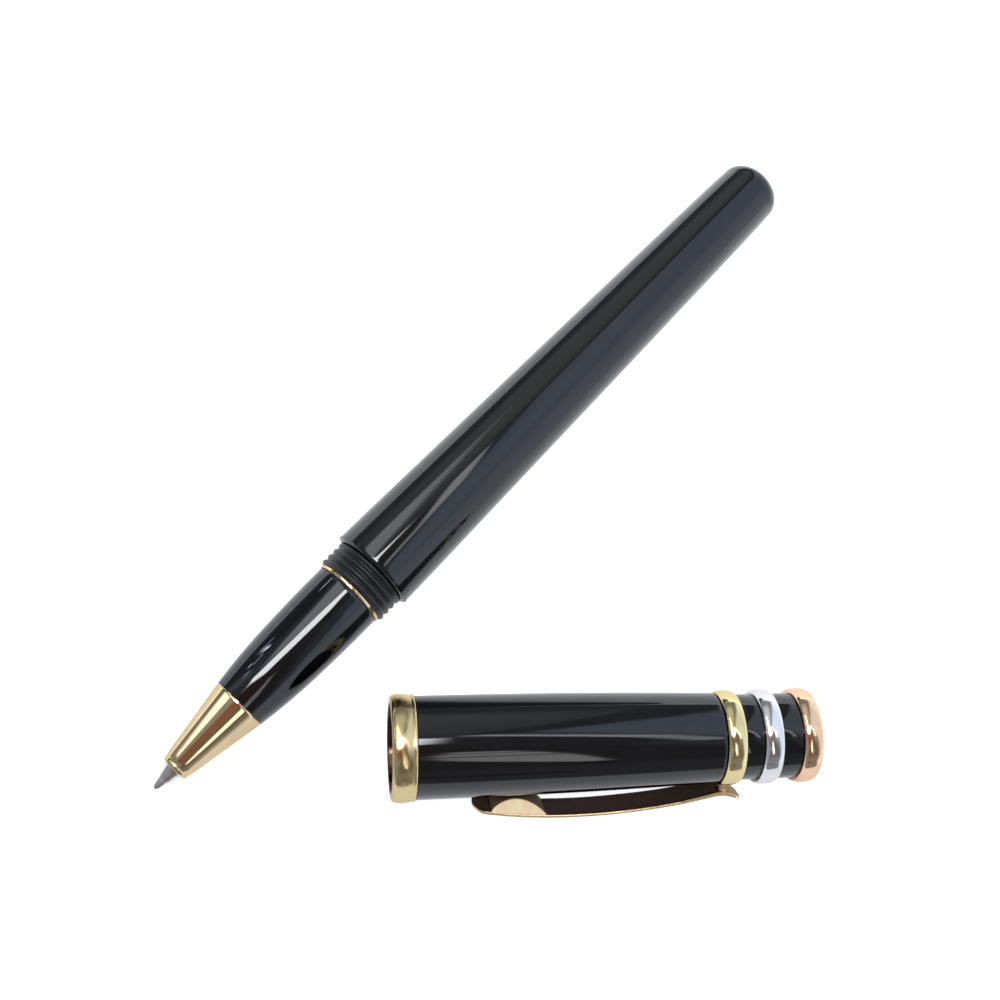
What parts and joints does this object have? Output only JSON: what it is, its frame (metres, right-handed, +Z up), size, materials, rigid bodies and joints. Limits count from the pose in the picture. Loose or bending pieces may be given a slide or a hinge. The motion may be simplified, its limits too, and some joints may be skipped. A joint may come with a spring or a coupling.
{
  "type": "rollerball pen",
  "caption": "Black lacquer rollerball pen lying beside its removed cap, with a gold nose cone and a cap that has a bowed clip and yellow, white and rose gold rings.",
  "frame": {"origin": "centre of the base of the whole layout, on the table plane the pen and cap lie on", "axes": "+X along the cap from its mouth to its crown (the axis dips 0.71 degrees towards the crown), +Z up from the table; the pen lies at 45 degrees between +X and +Y, tip towards -X -Y"},
  "size_m": [0.0874, 0.0927, 0.0136],
  "materials": {
    "lacquer": "polished black resin",
    "yellow_gold": "polished yellow gold plate",
    "rose_gold": "polished rose gold plate",
    "white_gold": "polished white gold plate",
    "steel": "turned steel",
    "spring_steel": "drawn wire",
    "carbide": "polished carbide",
    "brass": "turned brass",
    "refill_plastic": "moulded",
    "inner_plastic": "moulded"
  },
  "bodies": {
    "barrel": {"barrel_shell": "lacquer", "barrel_thread_sleeve": "brass", "spring_seat": "inner_plastic", "refill_spring": "spring_steel"},
    "grip_liner_body": {"grip_liner": "brass"},
    "grip": {"grip_section": "lacquer", "nose_cone": "yellow_gold", "trim_ring": "yellow_gold", "thread_collar": "lacquer"},
    "refill": {"refill_tip": "steel", "refill_nose": "refill_plastic", "refill_tube": "refill_plastic", "refill_end_plug": "inner_plastic"},
    "ball": {"writing_ball": "carbide"},
    "cap": {"cap_shell": "lacquer", "mouth_band": "yellow_gold", "cap_inner_sleeve": "inner_plastic", "crown_nut": "brass", "crown_stud": "brass", "crown_disc": "lacquer", "spacer_front": "lacquer", "spacer_rear": "lacquer", "ring_yellow": "yellow_gold", "ring_silver": "white_gold", "ring_rose": "rose_gold", "clip_lug": "yellow_gold", "clip_pin": "steel"},
    "clip": {"clip_blade": "yellow_gold", "clip_pad": "yellow_gold"}
  },
  "joints": [
    {"name": "grip_advance", "type": "slide", "parent": "barrel", "child": "grip_liner_body", "axis": [-0.707, -0.707, 0.0172], "range_m": [0, 0.003]},
    {"name": "grip_turn", "type": "hinge", "parent": "grip_liner_body", "child": "grip", "pos_m": [-0.04346, -0.04077, 0.00674], "axis": [-0.707, -0.707, 0.0172], "range_deg": [0, 720]},
    {"name": "refill_float", "type": "slide", "parent": "barrel", "child": "refill", "axis": [0.707, 0.707, -0.0172], "range_m": [0, 0.0015], "stiffness_N_per_m": 300, "springref_m": -0.0005, "deforming": ["refill_spring"]},
    {"name": "ball_roll", "type": "hinge", "parent": "refill", "child": "ball", "pos_m": [-0.04333, -0.04064, 0.00674], "axis": [-0.7071, 0.7071, 0], "continuous": true},
    {"name": "cap_pull", "type": "slide", "parent": "barrel", "child": "cap", "axis": [0.9999, 0, -0.0124], "range_m": [-0.004, 0.038]},
    {"name": "clip_flex", "type": "hinge", "parent": "cap", "child": "clip", "pos_m": [0.02887, -0.0428, 0.00315], "axis": [0.0109, -0.4741, 0.8804], "range_deg": [0, 5], "stiffness_Nm_per_rad": 0.6}
  ],
  "couplings": [
    {"joint": "grip_turn", "follows": "grip_advance", "rad_per_m": 4188.8}
  ]
}
